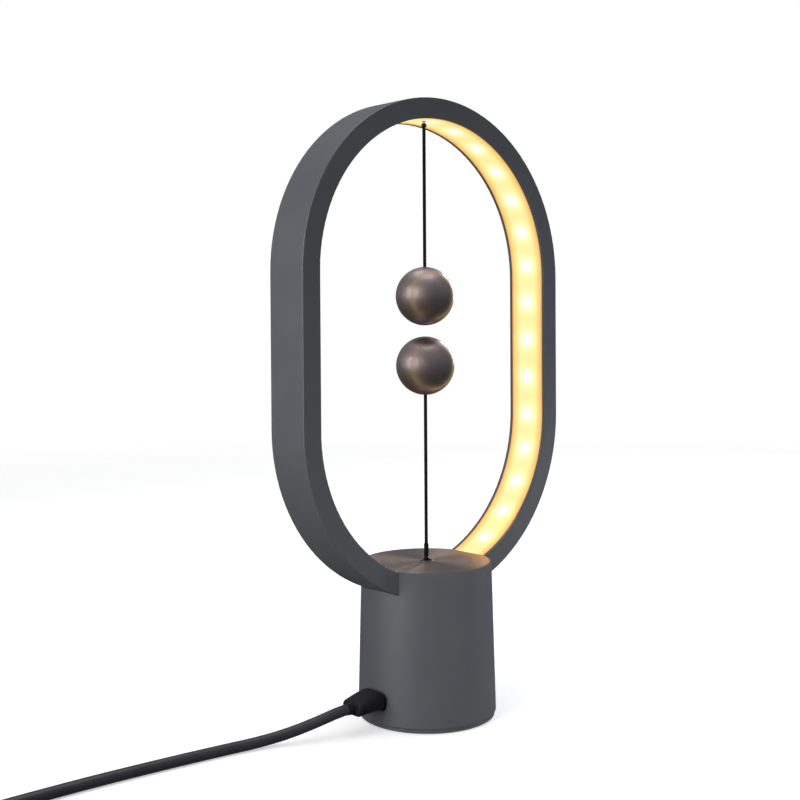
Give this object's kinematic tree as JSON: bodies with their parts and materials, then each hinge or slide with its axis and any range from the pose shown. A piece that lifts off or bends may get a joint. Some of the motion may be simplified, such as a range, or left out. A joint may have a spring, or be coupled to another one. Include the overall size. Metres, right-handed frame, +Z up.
{
  "type": "magnetic balance lamp",
  "caption": "Table lamp: a lit stadium-shaped ring on a round base, switched by drawing together a hanging and a standing magnet ball.",
  "frame": {"origin": "middle of the base's underside, on the table", "axes": "+Z up, X along the ring's width with the power socket on the -X side, -Y towards the ring's front face"},
  "size_m": [0.3429, 0.0833, 0.2738],
  "materials": {
    "pad_rubber": "matte",
    "dark_plastic": "matte",
    "raw_steel": "plain",
    "satin_grey": "satin, fine metallic grey",
    "screw_steel": "zinc plated",
    "turned_metal": "turned, dark brown-grey",
    "eyelet_metal": "polished",
    "lit_diffuser": "milky, lit from behind",
    "strip_white": "plain",
    "lit_chip": "lit",
    "black_cord": "woven, fine",
    "white_plastic": "plain",
    "board_green": "satin",
    "contact_steel": "nickel plated",
    "red_wire": "plain",
    "blue_wire": "plain",
    "collar_brass": "turned",
    "red_button": "plain",
    "black_bead": "blackened",
    "ball_metal": "satin, fine turning marks",
    "magnet_nickel": "nickel plated",
    "plug_black": "satin",
    "lead_black": "satin"
  },
  "bodies": {
    "lamp": {"foot_pad": "pad_rubber", "base_plate": "dark_plastic", "base_weight": "raw_steel", "base_housing": "satin_grey", "base_screws": "screw_steel", "top_disc": "turned_metal", "string_eyelet": "eyelet_metal", "ring_shell": "satin_grey", "ring_cover": "satin_grey", "diffuser": "lit_diffuser", "led_strip": "strip_white", "led_chips": "lit_chip", "string_anchor": "black_cord", "chassis": "white_plastic", "chassis_screws": "screw_steel", "ring_screws": "screw_steel", "pull_guide": "white_plastic", "lever_pin": "raw_steel", "micro_switch": "dark_plastic", "control_board": "board_green", "board_parts": "dark_plastic", "board_screws": "screw_steel", "usb_socket": "contact_steel", "socket_tongue": "dark_plastic", "led_leads": "red_wire", "switch_leads": "blue_wire"},
    "pull": {"inner_string": "black_cord", "pull_collar": "collar_brass"},
    "lever": {"switch_lever": "raw_steel"},
    "button": {"switch_button": "red_button"},
    "lower_swivel": {"lower_bead": "black_bead"},
    "lower_ball": {"lower_string": "black_cord", "lower_sleeve": "black_cord", "lower_ball": "ball_metal", "lower_ferrule": "raw_steel", "lower_magnet": "magnet_nickel"},
    "upper_swivel": {"upper_bead": "black_bead"},
    "upper_ball": {"upper_string": "black_cord", "upper_ball": "ball_metal", "upper_ferrule": "raw_steel", "upper_magnet": "magnet_nickel"},
    "usb_lead": {"plug_shell": "contact_steel", "plug_body": "plug_black", "plug_relief": "plug_black", "power_lead": "lead_black", "lead_coil": "lead_black", "lead_tail": "lead_black", "far_relief": "plug_black", "far_body": "plug_black", "far_shell": "contact_steel", "far_tongue": "strip_white"}
  },
  "joints": [
    {"name": "pull_slide", "type": "slide", "parent": "lamp", "child": "pull", "axis": [0, 0, 1], "range_m": [-0.0015, 0], "stiffness_N_per_m": 150, "springref_m": 0.004},
    {"name": "lever_hinge", "type": "hinge", "parent": "lamp", "child": "lever", "pos_m": [0.015, 0, 0.0436], "axis": [0, 1, 0], "range_deg": [-5.8, 0]},
    {"name": "button_slide", "type": "slide", "parent": "lamp", "child": "button", "axis": [0, 0, 1], "range_m": [-0.0008, 0]},
    {"name": "lower_lean_x", "type": "hinge", "parent": "pull", "child": "lower_swivel", "pos_m": [0, 0, 0.0692], "axis": [1, 0, 0], "range_deg": [-22, 22], "stiffness_Nm_per_rad": 0.08},
    {"name": "lower_lean_y", "type": "hinge", "parent": "lower_swivel", "child": "lower_ball", "pos_m": [0, 0, 0.0692], "axis": [0, 1, 0], "range_deg": [-22, 22], "stiffness_Nm_per_rad": 0.08},
    {"name": "upper_swing_x", "type": "hinge", "parent": "lamp", "child": "upper_swivel", "pos_m": [0, 0, 0.2633], "axis": [1, 0, 0], "range_deg": [-60, 60]},
    {"name": "upper_swing_y", "type": "hinge", "parent": "upper_swivel", "child": "upper_ball", "pos_m": [0, 0, 0.2633], "axis": [0, 1, 0], "range_deg": [-40, 40]},
    {"name": "unplug", "type": "slide", "parent": "lamp", "child": "usb_lead", "axis": [-1, 0, 0], "range_m": [0, 0.02]}
  ],
  "couplings": [
    {"joint": "lever_hinge", "follows": "pull_slide", "rad_per_m": 66.667},
    {"joint": "button_slide", "follows": "pull_slide", "ratio": 0.5}
  ]
}
